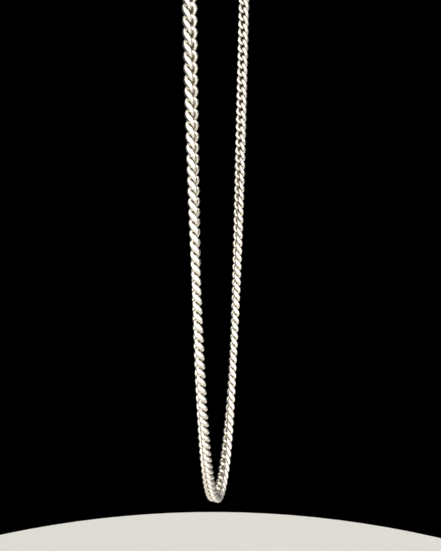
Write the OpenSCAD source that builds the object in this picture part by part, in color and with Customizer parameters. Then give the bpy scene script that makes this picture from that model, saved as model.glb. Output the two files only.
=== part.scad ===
/* [Chain] */
// Length that each link adds to the chain
pitch = 3; // [2.8:0.05:3.2]
// Thickness of a link's wire at its two ends, over the corners
wire_d = 0.98; // [0.96:0.01:1]
// Width and height of the wire at a link's two sides, where pressing has spread it
side_w = 1.3; // [1.2:0.02:1.32]
side_h = 1.66; // [1.5:0.02:1.68]
// Width of a link over its sides
link_w = 4.05; // [4.04:0.01:4.1]
// How far the twist lifts the wire to each side of the middle
twist_rise = 0.94; // [0.93:0.01:0.98]
// Thickness of the chain between its two ground faces
chain_t = 2.7; // [2.6:0.02:2.8]
// Air between two links where one pulls on the next
link_gap = 0.12; // [0.11:0.01:0.16]
// Links on each side of the lowest point
side_links = 82; // [80:1:84]

/* [Hang] */
// Radius of the bend at the lowest point
bottom_r = 17.1; // [14:0.1:25]
// Length of each strand from the lowest point to where it bends over
strand_l = 193.8; // [193:0.1:195]
// Radius of the bend at the top of each strand
corner_r = 17; // [16.8:0.1:17.5]
// Slope at which the top run leaves those bends
top_slope = 5; // [4:0.5:6]

/* [Clasp] */
// Diameter of the barrel
barrel_d = 4.2; // [3.8:0.1:5]
// Thickness of the wire of the two eyes
eye_wire = 0.9; // [0.8:0.05:1]
// Middle radius of the two eyes
eye_r = 1.75; // [1.7:0.05:1.9]
// Air between an eye and the link that it holds
eye_gap = 0.25; // [0.2:0.01:0.3]
// Half length of the straight stretch that the clasp takes
clasp_half = 14; // [13:0.5:15]
// Height of the raised band round the barrel
band_rise = 0.2; // [0.1:0.05:0.4]

/* [Hidden] */
metal = [0.87, 0.84, 0.77];
$fn = 48;

// Corners round a link and round its wire, whose flat sides look outwards
ring_sides = 10;
wire_sides = 5;
ring_step = 360 / ring_sides;
wire_step = 360 / wire_sides;
wire_r = wire_d / 2;

// Distance from a link's middle to the inside of its end, and to the middle of the wire there
end_inside = (pitch + link_gap) / 2;
ring_end = end_inside + wire_r;
// Half length and half width of the oval that the middle of the wire follows
ring_a = ring_end / cos(ring_step / 2);
ring_b = (link_w - side_w * cos(wire_step / 2)) / 2;
// How quickly the wire thickens from the ends to the sides
spread_power = 10;

// The way that the chain's face turns: links from the lowest point, degrees from the loop's own plane
TURN_AT = [
    [-78, 0], [-60, 56], [-48, 73], [-40, 86], [-32, 103], [-24, 114], [-16, 125], [-12, 134],
    [-6, 158], [0, 186], [4, 207], [8, 227], [12, 243], [14, 250], [18, 256], [22, 253],
    [28, 243], [34, 228], [40, 214], [46, 205], [56, 199], [66, 195], [74, 188], [80, 180]
];

// Arc lengths at which the bend, then the top run, then the middle of the clasp is reached
strand_end = heading_at_strand(strand_l);
corner_turn = 180 - top_slope - strand_end;
corner_l = corner_r * corner_turn * PI / 180;
corner_x = strand_x(strand_l) + corner_r * (sin(180 - top_slope) - sin(strand_end));
corner_z = strand_z(strand_l) + corner_r * (cos(strand_end) - cos(180 - top_slope));
top_r = (corner_x - clasp_half) / sin(top_slope);
half_loop = strand_l + corner_l + top_r * top_slope * PI / 180 + clasp_half;
top_z = corner_z + top_r * (1 - cos(top_slope));

// The loop hangs from the underside of the clasp, which is at height 0
clasp_z = barrel_d / 2 + band_rise;

// Middle of each eye, from the middle of the clasp
last_link = (side_links - 0.5) * pitch;
eye_x = half_loop - (last_link + end_inside - eye_gap - eye_wire / 2 + eye_r);
barrel_l = 2 * (eye_x - eye_r + eye_wire / 3);
barrel_round = 0.8;
band_l = 1.2;

function unit(v) = v / norm(v);
function asinh(v) = ln(v + sqrt(v * v + 1));

// The hanging strand is a catenary, measured along its length from the lowest point
function strand_x(s) = bottom_r * asinh(s / bottom_r);
function strand_z(s) = sqrt(s * s + bottom_r * bottom_r) - bottom_r;
function heading_at_strand(s) = atan2(s, bottom_r);

// The middle line of the loop's right half: x, z and heading at length s from the lowest point
function on_strand(s) = [strand_x(s), strand_z(s), heading_at_strand(s)];
function on_corner(turn) = [
    strand_x(strand_l) + corner_r * (sin(strand_end + turn) - sin(strand_end)),
    strand_z(strand_l) + corner_r * (cos(strand_end) - cos(strand_end + turn)),
    strand_end + turn
];
function on_top(slope) = [
    clasp_half + top_r * sin(slope),
    top_z - top_r * (1 - cos(slope)),
    180 - slope
];
function on_half(s) =
    s < strand_l ? on_strand(s)
    : s < strand_l + corner_l ? on_corner((s - strand_l) / corner_r * 180 / PI)
    : s < half_loop - clasp_half ? on_top((half_loop - clasp_half - s) / top_r * 180 / PI)
    : [half_loop - s, top_z, 180];

// The whole loop: the left half is the right one mirrored
function on_loop(s) =
    let (h = on_half(abs(s)))
    s < 0 ? [-h[0], h[1], -h[2]] : h;

// A link's wire: an oval that is twisted out of its plane, at angle t round it
function wire_mid(t) = [ring_a * cos(t), ring_b * sin(t), -twist_rise * sin(2 * t)];
function wire_run(t) = unit([-ring_a * sin(t), ring_b * cos(t), -2 * twist_rise * cos(2 * t)]);
function wire_point(t, u) =
    let (spread = pow(abs(sin(t)), spread_power))
    let (half_w = wire_r + (side_w / 2 - wire_r) * spread)
    let (half_h = wire_r + (side_h / 2 - wire_r) * spread)
    let (run = wire_run(t))
    let (out = unit(cross(run, [0, 0, 1])))
    let (up = cross(out, run))
    let (p = wire_mid(t) + half_w * cos(u) * out + half_h * sin(u) * up)
    [p[0], p[1], max(-chain_t / 2, min(chain_t / 2, p[2]))];

// The corners of one link about its own middle
LINK = [
    for (i = [0 : ring_sides - 1])
        for (j = [0 : wire_sides - 1])
            wire_point(ring_step * (i + 0.5), wire_step * (j + 0.5))
];

// A link's corners, put on the loop at length s
function placed_link(s) =
    let (at = on_loop(s))
    let (turn = lookup(s / pitch, TURN_AT))
    let (along = [cos(at[2]), 0, sin(at[2])])
    let (inward = [-sin(at[2]), 0, cos(at[2])])
    let (face = cos(turn) * inward + sin(turn) * [0, 1, 0])
    let (across = cross(face, along))
    let (middle = [at[0], 0, at[1] - top_z + clasp_z])
    [for (p = LINK) middle + p[0] * along + p[1] * across + p[2] * face];

// The triangles of the link that has the number n in its node
function link_faces(n) = [
    for (i = [0 : ring_sides - 1])
        for (j = [0 : wire_sides - 1])
            let (first = n * ring_sides * wire_sides)
            let (here = first + i * wire_sides)
            let (ahead = first + (i + 1) % ring_sides * wire_sides)
            let (k = (j + 1) % wire_sides)
            each [[here + j, here + k, ahead + k], [here + j, ahead + k, ahead + j]]
];

// Loose links, each passed through the next, on the side of the loop where side is -1 or 1
module chain_side(side) {
    points = [
        for (n = [0 : side_links - 1])
            each placed_link(side * (n + 0.5) * pitch)
    ];
    faces = [
        for (n = [0 : side_links - 1])
            each link_faces(n)
    ];
    color(metal)
        polyhedron(points = points, faces = faces);
}

module left_chain() {
    chain_side(-1);
}

module right_chain() {
    chain_side(1);
}

// Half the barrel's outline, from its middle to the rounded end
module barrel_outline() {
    intersection() {
        translate([0, -barrel_l / 2])
            square([barrel_d / 2, barrel_l]);
        offset_square(barrel_d, barrel_l, barrel_round);
    }
    translate([0, -band_l / 2])
        square([barrel_d / 2 + band_rise, band_l]);
}

module offset_square(w, l, r) {
    for (x = [-1, 1])
        for (y = [-1, 1])
            translate([x * (w / 2 - r), y * (l / 2 - r)])
                circle(r);
    square([w - 2 * r, l], center = true);
    square([w, l - 2 * r], center = true);
}

// The clasp, closed: a barrel with a soldered eye at each end
module clasp() {
    color(metal)
    translate([0, 0, clasp_z]) {
        rotate([0, 90, 0])
            rotate_extrude()
                barrel_outline();
        for (side = [-1, 1])
            translate([side * eye_x, 0, 0])
                rotate([90, 0, 0])
                    rotate_extrude()
                        translate([eye_r, 0])
                            circle(d = eye_wire);
    }
}

left_chain();
right_chain();
clasp();
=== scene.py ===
import math

import bpy
from mathutils import Matrix, Vector


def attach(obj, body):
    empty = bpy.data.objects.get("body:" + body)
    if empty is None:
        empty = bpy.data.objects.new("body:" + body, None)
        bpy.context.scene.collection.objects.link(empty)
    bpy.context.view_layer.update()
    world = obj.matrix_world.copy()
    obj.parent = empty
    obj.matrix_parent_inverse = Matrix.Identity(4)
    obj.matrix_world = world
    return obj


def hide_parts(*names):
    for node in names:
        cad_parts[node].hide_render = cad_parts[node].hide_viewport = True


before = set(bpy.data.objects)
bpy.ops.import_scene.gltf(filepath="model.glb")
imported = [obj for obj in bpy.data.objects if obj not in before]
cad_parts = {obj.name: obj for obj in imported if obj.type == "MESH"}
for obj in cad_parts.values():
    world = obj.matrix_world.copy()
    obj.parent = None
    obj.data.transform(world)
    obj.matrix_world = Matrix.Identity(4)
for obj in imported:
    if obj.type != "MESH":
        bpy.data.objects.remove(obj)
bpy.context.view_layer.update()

MM = 0.001


# The view
# The photo looks at the hanging loop almost edge-on and a little down, with one strand nearer than the
# other, so that the two close in on each other towards the lowest link.
LENS_PIXELS = 800
PICTURE_HEIGHT = 551
EYE_AT = Vector((-263.6, -43.1, -71.1)) * MM
HEADING = math.radians(-80.75)
LOOK_DOWN = math.radians(-9.6)
LEAN = math.radians(-0.33)

lens = bpy.data.cameras.new("camera")
lens.sensor_width = 36
lens.lens = LENS_PIXELS / PICTURE_HEIGHT * lens.sensor_width
lens.clip_start = 0.01
camera = bpy.data.objects.new("camera", lens)
camera.matrix_world = (
    Matrix.Translation(EYE_AT)
    @ Matrix.Rotation(HEADING, 4, "Z")
    @ Matrix.Rotation(LOOK_DOWN, 4, "X")
    @ Matrix.Rotation(LEAN, 4, "Y")
    @ Matrix.Rotation(math.radians(90), 4, "X")
)
bpy.context.scene.collection.objects.link(camera)
bpy.context.scene.camera = camera


# The links
# Silver wire, closed into ovals that are twisted out of flat, passed one through the next, pressed so
# that their sides spread, and ground level on both faces. Wear keeps the high places bright, and low
# between them the silver is darker and warmer, partly tarnish from years in the air and partly painted
# shade.
PITCH = 3.0 * MM
LINKS_A_SIDE = 82
BOTTOM_RADIUS = 17.1 * MM
STRAND_LENGTH = 193.8 * MM
CORNER_RADIUS = 17.0 * MM
TOP_SLOPE = math.radians(5)
CLASP_HALF = 14.0 * MM
CLASP_HEIGHT = 2.3 * MM

END_WIDTH = 1.06 * MM
END_HEIGHT = 1.02 * MM
SIDE_WIDTH = 1.32 * MM
SIDE_HEIGHT = 1.76 * MM
SPREAD_POWER = 6
LINK_GAP = 0.1 * MM
LINK_LENGTH = PITCH + 2 * END_WIDTH + LINK_GAP
LINK_WIDTH = 4.05 * MM
TWIST_RISE = 0.94 * MM
CHAIN_THICKNESS = 2.7 * MM
GRINDING_STONE = 10 * MM

# Where the chain's face looks: links from the lowest point, degrees from the loop's own plane
TURN_AT = [
    (-78, 0), (-60, 56), (-48, 73), (-40, 86), (-32, 103), (-24, 114), (-16, 125), (-12, 134),
    (-6, 158), (0, 186), (4, 207), (8, 227), (12, 243), (14, 250), (18, 256), (22, 253),
    (28, 243), (34, 228), (40, 214), (46, 205), (56, 199), (66, 195), (74, 188), (80, 180),
]


def strand_point(length):
    """Across, up and heading on the hanging strand, a catenary, at a length from its lowest point."""
    across = BOTTOM_RADIUS * math.asinh(length / BOTTOM_RADIUS)
    up = math.hypot(length, BOTTOM_RADIUS) - BOTTOM_RADIUS
    return across, up, math.atan2(length, BOTTOM_RADIUS)


strand_top = strand_point(STRAND_LENGTH)
corner_turn = math.pi - TOP_SLOPE - strand_top[2]
corner_length = CORNER_RADIUS * corner_turn
corner_end_x = strand_top[0] + CORNER_RADIUS * (math.sin(TOP_SLOPE) - math.sin(strand_top[2]))
corner_end_z = strand_top[1] + CORNER_RADIUS * (math.cos(strand_top[2]) + math.cos(TOP_SLOPE))
top_radius = (corner_end_x - CLASP_HALF) / math.sin(TOP_SLOPE)
top_arc_length = top_radius * TOP_SLOPE
half_loop = STRAND_LENGTH + corner_length + top_arc_length + CLASP_HALF
top_height = corner_end_z + top_radius * (1 - math.cos(TOP_SLOPE))


def half_loop_point(length):
    """The same for one half of the loop, over the bend and the top run to the clasp."""
    if length < STRAND_LENGTH:
        return strand_point(length)
    past = length - STRAND_LENGTH
    if past < corner_length:
        tilt = strand_top[2] + past / CORNER_RADIUS
        across = strand_top[0] + CORNER_RADIUS * (math.sin(tilt) - math.sin(strand_top[2]))
        up = strand_top[1] + CORNER_RADIUS * (math.cos(strand_top[2]) - math.cos(tilt))
        return across, up, tilt
    past -= corner_length
    if past < top_arc_length:
        slope = (top_arc_length - past) / top_radius
        across = CLASP_HALF + top_radius * math.sin(slope)
        return across, top_height - top_radius * (1 - math.cos(slope)), math.pi - slope
    return half_loop - length, top_height, math.pi


def face_turn(links):
    """The turn of the chain's face at a number of links from the lowest point, in radians."""
    if links <= TURN_AT[0][0]:
        return math.radians(TURN_AT[0][1])
    for (start, turn_a), (end, turn_b) in zip(TURN_AT, TURN_AT[1:]):
        if links <= end:
            share = (links - start) / (end - start)
            return math.radians(turn_a + share * (turn_b - turn_a))
    return math.radians(TURN_AT[-1][1])


def link_place(side, number):
    """A link's middle, the way along the chain there, and the way its ground face looks."""
    links = number + 0.5
    across, up, tilt = half_loop_point(links * PITCH)
    middle = Vector((side * across, 0, up - top_height + CLASP_HEIGHT))
    along = Vector((math.cos(tilt), 0, side * math.sin(tilt)))
    inward = Vector((-along.z, 0, along.x))
    turn = face_turn(side * links)
    return middle, along, math.cos(turn) * inward + math.sin(turn) * Vector((0, 1, 0))


class Field:
    """A number or vector that runs through a node tree. A sum on it adds its own nodes."""

    def __init__(self, nodes, socket):
        self.nodes = nodes
        self.socket = socket

    def math(self, operation, *others):
        values = dict(enumerate((self, *others)))
        return self.nodes.add("ShaderNodeMath", {"operation": operation}, values)

    def __add__(self, other):
        return self.math("ADD", other)

    def __sub__(self, other):
        return self.math("SUBTRACT", other)

    def __rsub__(self, other):
        return self.nodes.add("ShaderNodeMath", {"operation": "SUBTRACT"}, {0: other, 1: self})

    def __mul__(self, other):
        return self.math("MULTIPLY", other)

    def __truediv__(self, other):
        return self.math("DIVIDE", other)

    __radd__ = __add__
    __rmul__ = __mul__

    def clipped(self):
        return self.math("MAXIMUM", 0).math("MINIMUM", 1)

    def part(self, axis):
        return self.nodes.add("ShaderNodeSeparateXYZ", {}, {0: self}, axis)

    def vector_math(self, operation, others=None, output=0):
        values = {0: self, **(others or {})}
        return self.nodes.add("ShaderNodeVectorMath", {"operation": operation}, values, output)

    def plus(self, other):
        return self.vector_math("ADD", {1: other})

    def minus(self, other):
        return self.vector_math("SUBTRACT", {1: other})

    def cross(self, other):
        return self.vector_math("CROSS_PRODUCT", {1: other})

    def dot(self, other):
        return self.vector_math("DOT_PRODUCT", {1: other}, "Value")

    def scaled(self, factor):
        return self.vector_math("SCALE", {"Scale": factor})

    def unit(self):
        return self.vector_math("NORMALIZE")


class Nodes:
    """One node tree, with one way of adding any node to it."""

    def __init__(self, tree):
        self.tree = tree

    def add(self, kind, settings=None, values=None, output=0):
        node = self.tree.nodes.new(kind)
        for name, setting in (settings or {}).items():
            if name == "stops":
                for stop, (position, colour) in zip(node.color_ramp.elements, setting):
                    stop.position = position
                    stop.color = (*colour, 1)
            else:
                setattr(node, name, setting)
        for name, value in (values or {}).items():
            if isinstance(value, Field):
                self.tree.links.new(value.socket, node.inputs[name])
            elif isinstance(value, tuple) and isinstance(value[0], Field):
                for joined in value:
                    self.tree.links.new(joined.socket, node.inputs[name])
            else:
                node.inputs[name].default_value = value
        return Field(self, node.outputs[output]) if node.outputs else None

    def vector(self, x, y, z):
        return self.add("ShaderNodeCombineXYZ", {}, {0: x, 1: y, 2: z})


# The finish: where the recesses darken, partly with tarnish and partly with painted shade, and what that
# darkening, a link's random shade and the fine grain do to the silver
MIDDLE = 0.5
TARNISH_AND_SHADE_START = 0.4
TARNISH_AND_SHADE_GROWTH = 2.4
CLOUD_TARNISH = 0.6
BRIGHT = (0.97, 0.93, 0.855)
TARNISHED_AND_SHADED = (0.36, 0.30, 0.22)
TARNISH_AND_SHADE_TINT = 0.95
SHADE_TINT = 0.08
BRIGHT_ROUGHNESS = 0.30
TARNISH_ROUGHNESS = 0.15
GRAIN_ROUGHNESS = 0.05
SHADE_ROUGHNESS = 0.04

# The pattern, to the millimetre: soft clouds, fine grain, and hairlines that run along the piece
CLOUD_SCALE = 0.9
GRAIN_SCALE = 6.0
HAIRLINE_SCALE = 2.0
HAIRLINE_STRETCH = (0.7, 9.0, 9.0)
GRAIN_MARKS = 0.4
MARK_STRENGTH = 0.1
MARK_DEPTH = 0.004 * MM
PATTERN_SHIFT = (40.0, 23.0, 0.0)


def new_material(name):
    """An empty material and its nodes."""
    material = bpy.data.materials.new(name)
    material.use_nodes = True
    material.node_tree.nodes.clear()
    return material, Nodes(material.node_tree)


def silver(nodes, recess, spot, shade):
    """Polished silver: bright where it is ground, duller and warmer in the recesses, partly tarnish and
    partly painted shade, with fine wear.

    recess and shade run from 0 to 1, and spot is the place in millimetres. The shade also shifts the
    pattern, so that no two links share one.
    """
    shift = nodes.add("ShaderNodeVectorMath", {"operation": "SCALE"}, {0: PATTERN_SHIFT, "Scale": shade})
    spot = spot.plus(shift)
    cloud = nodes.add("ShaderNodeTexNoise", {}, {"Vector": spot, "Scale": CLOUD_SCALE, "Detail": 3.0})
    grain = nodes.add("ShaderNodeTexNoise", {}, {"Vector": spot, "Scale": GRAIN_SCALE, "Detail": 4.0})
    drawn = nodes.add("ShaderNodeVectorMath", {"operation": "MULTIPLY"}, {0: spot, 1: HAIRLINE_STRETCH})
    hairline = nodes.add(
        "ShaderNodeTexNoise", {}, {"Vector": drawn, "Scale": HAIRLINE_SCALE, "Detail": 2.0}
    )
    # The recesses darken to a warm brown: partly tarnish, partly painted shade
    tarnish_and_shade = (
        (recess - TARNISH_AND_SHADE_START) * TARNISH_AND_SHADE_GROWTH + (cloud - MIDDLE) * CLOUD_TARNISH
    ).clipped()
    tint = nodes.add(
        "ShaderNodeValToRGB",
        {"stops": ((0.0, BRIGHT), (1.0, TARNISHED_AND_SHADED))},
        {0: (tarnish_and_shade * TARNISH_AND_SHADE_TINT + (shade - MIDDLE) * SHADE_TINT).clipped()},
    )
    roughness = (
        BRIGHT_ROUGHNESS
        + tarnish_and_shade * TARNISH_ROUGHNESS
        + (grain - MIDDLE) * GRAIN_ROUGHNESS
        + (shade - MIDDLE) * SHADE_ROUGHNESS
    ).clipped()
    bump = nodes.add(
        "ShaderNodeBump",
        {},
        {"Strength": MARK_STRENGTH, "Distance": MARK_DEPTH, "Height": hairline + grain * GRAIN_MARKS},
    )
    metal = nodes.add(
        "ShaderNodeBsdfPrincipled",
        {},
        {"Base Color": tint, "Metallic": 1.0, "Roughness": roughness, "Normal": bump},
    )
    nodes.add("ShaderNodeOutputMaterial", {}, {"Surface": metal})


# The links' own mesh carries where its recesses are, its place on the link, and the link's shade
link_silver, link_nodes = new_material("link silver")
silver(
    link_nodes,
    recess=link_nodes.add("ShaderNodeAttribute", {"attribute_name": "recess"}, {}, "Fac"),
    spot=link_nodes.add("ShaderNodeAttribute", {"attribute_name": "spot"}, {}, "Vector"),
    shade=link_nodes.add("ShaderNodeAttribute", {"attribute_name": "shade"}, {}, "Fac"),
)

# How far out recesses reach, how much height takes from them, and how squarely a ground face looks up
RECESS_REACH = 1.5
RECESS_HEIGHT = 0.6
GROUND_UP = 0.999

# The sizes that the tree below takes, with their kinds and values
LINK_SIZES = [
    ("Half Length", "NodeSocketFloat", (LINK_LENGTH - END_WIDTH) / 2),
    ("Half Width", "NodeSocketFloat", (LINK_WIDTH - SIDE_WIDTH) / 2),
    ("Twist Rise", "NodeSocketFloat", TWIST_RISE),
    ("End Width", "NodeSocketFloat", END_WIDTH),
    ("End Height", "NodeSocketFloat", END_HEIGHT),
    ("Side Width", "NodeSocketFloat", SIDE_WIDTH),
    ("Side Height", "NodeSocketFloat", SIDE_HEIGHT),
    ("Spread Power", "NodeSocketFloat", SPREAD_POWER),
    ("Half Thickness", "NodeSocketFloat", CHAIN_THICKNESS / 2),
    ("Stone", "NodeSocketFloat", GRINDING_STONE),
    ("Sections", "NodeSocketInt", 24),
    ("Wire Sides", "NodeSocketInt", 10),
    ("Seed", "NodeSocketInt", 7),
    ("Metal", "NodeSocketMaterial", link_silver),
]


def links_tree():
    """A tree that puts a twisted, pressed link at each point, turned as the point's arrows say."""
    tree = bpy.data.node_groups.new("interlocked links", "GeometryNodeTree")
    tree.interface.new_socket("Places", in_out="INPUT", socket_type="NodeSocketGeometry")
    for name, kind, value in LINK_SIZES:
        tree.interface.new_socket(name, in_out="INPUT", socket_type=kind)
    tree.interface.new_socket("Chain", in_out="OUTPUT", socket_type="NodeSocketGeometry")
    nodes = Nodes(tree)
    given = tree.nodes.new("NodeGroupInput")

    def size(name):
        return Field(nodes, given.outputs[name])

    def kept(geometry, name, kind, value, domain="POINT"):
        return nodes.add(
            "GeometryNodeStoreNamedAttribute",
            {"data_type": kind, "domain": domain},
            {"Geometry": geometry, "Name": name, "Value": value},
        )

    def carried(name, kind):
        return nodes.add("GeometryNodeInputNamedAttribute", {"data_type": kind}, {"Name": name})

    # A circle of points is bent to the twisted oval that the middle of the wire follows
    here = nodes.add("GeometryNodeInputPosition")
    x, y, z = (here.part(axis) for axis in "XYZ")
    ring = nodes.add(
        "GeometryNodeCurvePrimitiveCircle", {}, {"Resolution": size("Sections"), "Radius": 1.0}
    )
    sided = kept(ring, "sidedness", "FLOAT", y.math("ABSOLUTE"))
    oval = nodes.vector(
        x * size("Half Length"), y * size("Half Width"), x * y * size("Twist Rise") * -2
    )
    bent = nodes.add("GeometryNodeSetPosition", {}, {"Geometry": sided, "Position": oval})
    upright = nodes.add("GeometryNodeSetCurveNormal", {"mode": "Z_UP"}, {"Curve": bent})
    with_middle = kept(upright, "middle", "FLOAT_VECTOR", here)
    with_run = kept(
        with_middle, "run", "FLOAT_VECTOR", nodes.add("GeometryNodeInputTangent")
    )

    # A round wire is swept along it, then brought to its real width and height at each section
    section = nodes.add(
        "GeometryNodeCurvePrimitiveCircle",
        {},
        {"Resolution": size("Wire Sides"), "Radius": size("End Width")},
    )
    wire = nodes.add("GeometryNodeCurveToMesh", {}, {"Curve": with_run, "Profile Curve": section})
    middle = carried("middle", "FLOAT_VECTOR")
    run = carried("run", "FLOAT_VECTOR")
    share = carried("sidedness", "FLOAT").math("POWER", size("Spread Power"))
    outward = run.cross((0, 0, 1)).unit()
    upward = outward.cross(run)
    reach = here.minus(middle)
    half_width = (size("End Width") + (size("Side Width") - size("End Width")) * share) / 2
    half_height = (size("End Height") + (size("Side Height") - size("End Height")) * share) / 2
    out_at = reach.dot(outward) / size("End Width")
    up_at = reach.dot(upward) / size("End Width")
    spread = middle.plus(outward.scaled(out_at * half_width)).plus(upward.scaled(up_at * half_height))
    pressed = nodes.add("GeometryNodeSetPosition", {}, {"Geometry": wire, "Position": spread})

    # Both faces are ground level, which leaves flat ovals, and the recesses are marked, where the silver
    # gets tarnish and painted shade
    flat = size("Half Thickness")
    slab = nodes.add(
        "GeometryNodeMeshCube", {}, {"Size": nodes.vector(size("Stone"), size("Stone"), flat * 2)}
    )
    ground = nodes.add(
        "GeometryNodeMeshBoolean",
        {"operation": "INTERSECT", "solver": "EXACT"},
        {"Mesh 2": (pressed, slab)},
    )
    out_x = x / size("Half Length")
    out_y = y / size("Half Width")
    outside = (out_x * out_x + out_y * out_y).math("SQRT")
    low = (RECESS_REACH - outside - z.math("ABSOLUTE") / flat * RECESS_HEIGHT).clipped()
    with_recess = kept(ground, "recess", "FLOAT", low)
    with_spot = kept(with_recess, "spot", "FLOAT_VECTOR", here.scaled(1 / MM))
    upright_face = nodes.add("GeometryNodeInputNormal").part("Z").math("ABSOLUTE")
    on_ground = upright_face.math("GREATER_THAN", GROUND_UP)
    smooth = nodes.add(
        "GeometryNodeSetShadeSmooth",
        {"domain": "FACE"},
        {"Geometry": with_spot, "Shade Smooth": 1 - on_ground},
    )

    # One link goes to each place, and each gets a shade of its own
    turned = nodes.add(
        "FunctionNodeAxesToRotation",
        {"primary_axis": "X", "secondary_axis": "Z"},
        {
            "Primary Axis": carried("along", "FLOAT_VECTOR"),
            "Secondary Axis": carried("face", "FLOAT_VECTOR"),
        },
    )
    placed = nodes.add(
        "GeometryNodeInstanceOnPoints",
        {},
        {"Points": Field(nodes, given.outputs["Places"]), "Instance": smooth, "Rotation": turned},
    )
    luck = nodes.add("FunctionNodeRandomValue", {"data_type": "FLOAT"}, {"Seed": size("Seed")}, 1)
    shaded = kept(placed, "shade", "FLOAT", luck, "INSTANCE")
    solid = nodes.add("GeometryNodeRealizeInstances", {}, {"Geometry": shaded})
    finished = nodes.add(
        "GeometryNodeSetMaterial", {}, {"Geometry": solid, "Material": size("Metal")}
    )
    nodes.add("NodeGroupOutput", {}, {"Chain": finished})
    return tree


def hang_links(name, side, tree):
    """One side of the chain as a plain mesh."""
    places = [link_place(side, number) for number in range(LINKS_A_SIDE)]
    points = bpy.data.meshes.new(name + " places")
    points.from_pydata([place[0] for place in places], [], [])
    for arrow, column in (("along", 1), ("face", 2)):
        values = points.attributes.new(arrow, "FLOAT_VECTOR", "POINT").data
        for value, place in zip(values, places):
            value.vector = place[column]
    chain = bpy.data.objects.new(name, points)
    bpy.context.scene.collection.objects.link(chain)
    maker = chain.modifiers.new("links", "NODES")
    maker.node_group = tree
    given = {socket.name: socket.identifier for socket in tree.interface.items_tree}
    for size_name, kind, value in LINK_SIZES:
        maker[given[size_name]] = value
    graph = bpy.context.evaluated_depsgraph_get()
    mesh = bpy.data.meshes.new_from_object(
        chain.evaluated_get(graph), preserve_all_data_layers=True, depsgraph=graph
    )
    chain.modifiers.clear()
    chain.data = mesh
    mesh.name = name
    return chain


link_maker = links_tree()
for name, side, node in (("left_links", -1, "left_chain"), ("right_links", 1, "right_chain")):
    chain_side = hang_links(name, side, link_maker)
    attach(chain_side, "root")
    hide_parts(node)


# The clasp
# A turned silver barrel in two halves, screwed together at the raised band, with an eye of thinner
# wire soldered into each end. It is polished lengthwise, so its fine marks run along it.
CLASP_RECESS = 0.4
CLASP_SHADE = 0.5
clasp_silver, clasp_nodes = new_material("clasp silver")
clasp_place = clasp_nodes.add("ShaderNodeTexCoord", {}, {}, "Object")
silver(clasp_nodes, CLASP_RECESS, clasp_place.scaled(1 / MM), CLASP_SHADE)
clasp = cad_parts["clasp"]
clasp.data.materials.clear()
clasp.data.materials.append(clasp_silver)


# The studio
# A round pale floor well under the hanging loop. A broad glow on the camera's side, like that of a white
# tent, gives the silver something bright to mirror. It isn't seen itself, and the room beyond is dark.
FLOOR_HEIGHT = -0.40
FLOOR_RADIUS = 0.405
RIM_CORNERS = 120
rim = [math.radians(360 / RIM_CORNERS * corner) for corner in range(RIM_CORNERS)]
floor_mesh = bpy.data.meshes.new("floor")
floor_mesh.from_pydata(
    [(FLOOR_RADIUS * math.cos(turn), FLOOR_RADIUS * math.sin(turn), FLOOR_HEIGHT) for turn in rim],
    [],
    [tuple(range(len(rim)))],
)
floor = bpy.data.objects.new("floor", floor_mesh)
bpy.context.scene.collection.objects.link(floor)
paper, paper_nodes = new_material("pale paper")
paper_surface = paper_nodes.add(
    "ShaderNodeBsdfPrincipled", {}, {"Base Color": (0.78, 0.77, 0.75, 1), "Roughness": 0.9}
)
paper_nodes.add("ShaderNodeOutputMaterial", {}, {"Surface": paper_surface})
floor_mesh.materials.append(paper)

# The glow: where its middle stands, how far round it fades out, and its brightness before and behind
GLOW_AZIMUTH = math.radians(198)
GLOW_RISE = 0.25
GLOW_EDGE = -0.02
GLOW_FULL = 0.44
GLOW_STRENGTH = 1.65
BACK_STRENGTH = 0.05
world = bpy.data.worlds.new("room")
world.use_nodes = True
world.node_tree.nodes.clear()
sky = Nodes(world.node_tree)
way = sky.add("ShaderNodeTexCoord", {}, {}, "Generated")
glow = sky.add(
    "ShaderNodeMapRange",
    {"interpolation_type": "SMOOTHSTEP"},
    {
        "Value": way.dot((math.cos(GLOW_AZIMUTH), math.sin(GLOW_AZIMUTH), GLOW_RISE)),
        "From Min": GLOW_EDGE,
        "From Max": GLOW_FULL,
        "To Min": BACK_STRENGTH,
        "To Max": GLOW_STRENGTH,
    },
)
tent = sky.add("ShaderNodeBackground", {}, {"Color": (1.0, 0.98, 0.92, 1), "Strength": glow})
sky.add("ShaderNodeOutputWorld", {}, {"Surface": tent})
bpy.context.scene.world = world
world.cycles_visibility.camera = False

# Two soft panels: azimuth, height above level, distance, size and brightness. A weak one gives the
# links an edge of light from the right, and the other stands high beyond the loop, for their far side.
PANELS = [
    (290, 10, 0.6, 0.5, 0.25),
    (15, 45, 0.7, 0.6, 0.8),
]
LIT_MIDDLE = Vector((0, 0, -0.1))
for azimuth, height, distance, size, brightness in PANELS:
    turn, tilt = math.radians(azimuth), math.radians(height)
    away = Vector((math.cos(turn) * math.cos(tilt), math.sin(turn) * math.cos(tilt), math.sin(tilt)))
    lamp = bpy.data.lights.new("panel", "AREA")
    lamp.size = size
    lamp.energy = brightness * math.pi * size * size
    holder = bpy.data.objects.new("panel", lamp)
    holder.location = LIT_MIDDLE + away * distance
    holder.rotation_euler = (-away).to_track_quat("-Z", "Y").to_euler()
    holder.visible_camera = False
    bpy.context.scene.collection.objects.link(holder)
bpy.context.scene.view_settings.view_transform = "Standard"
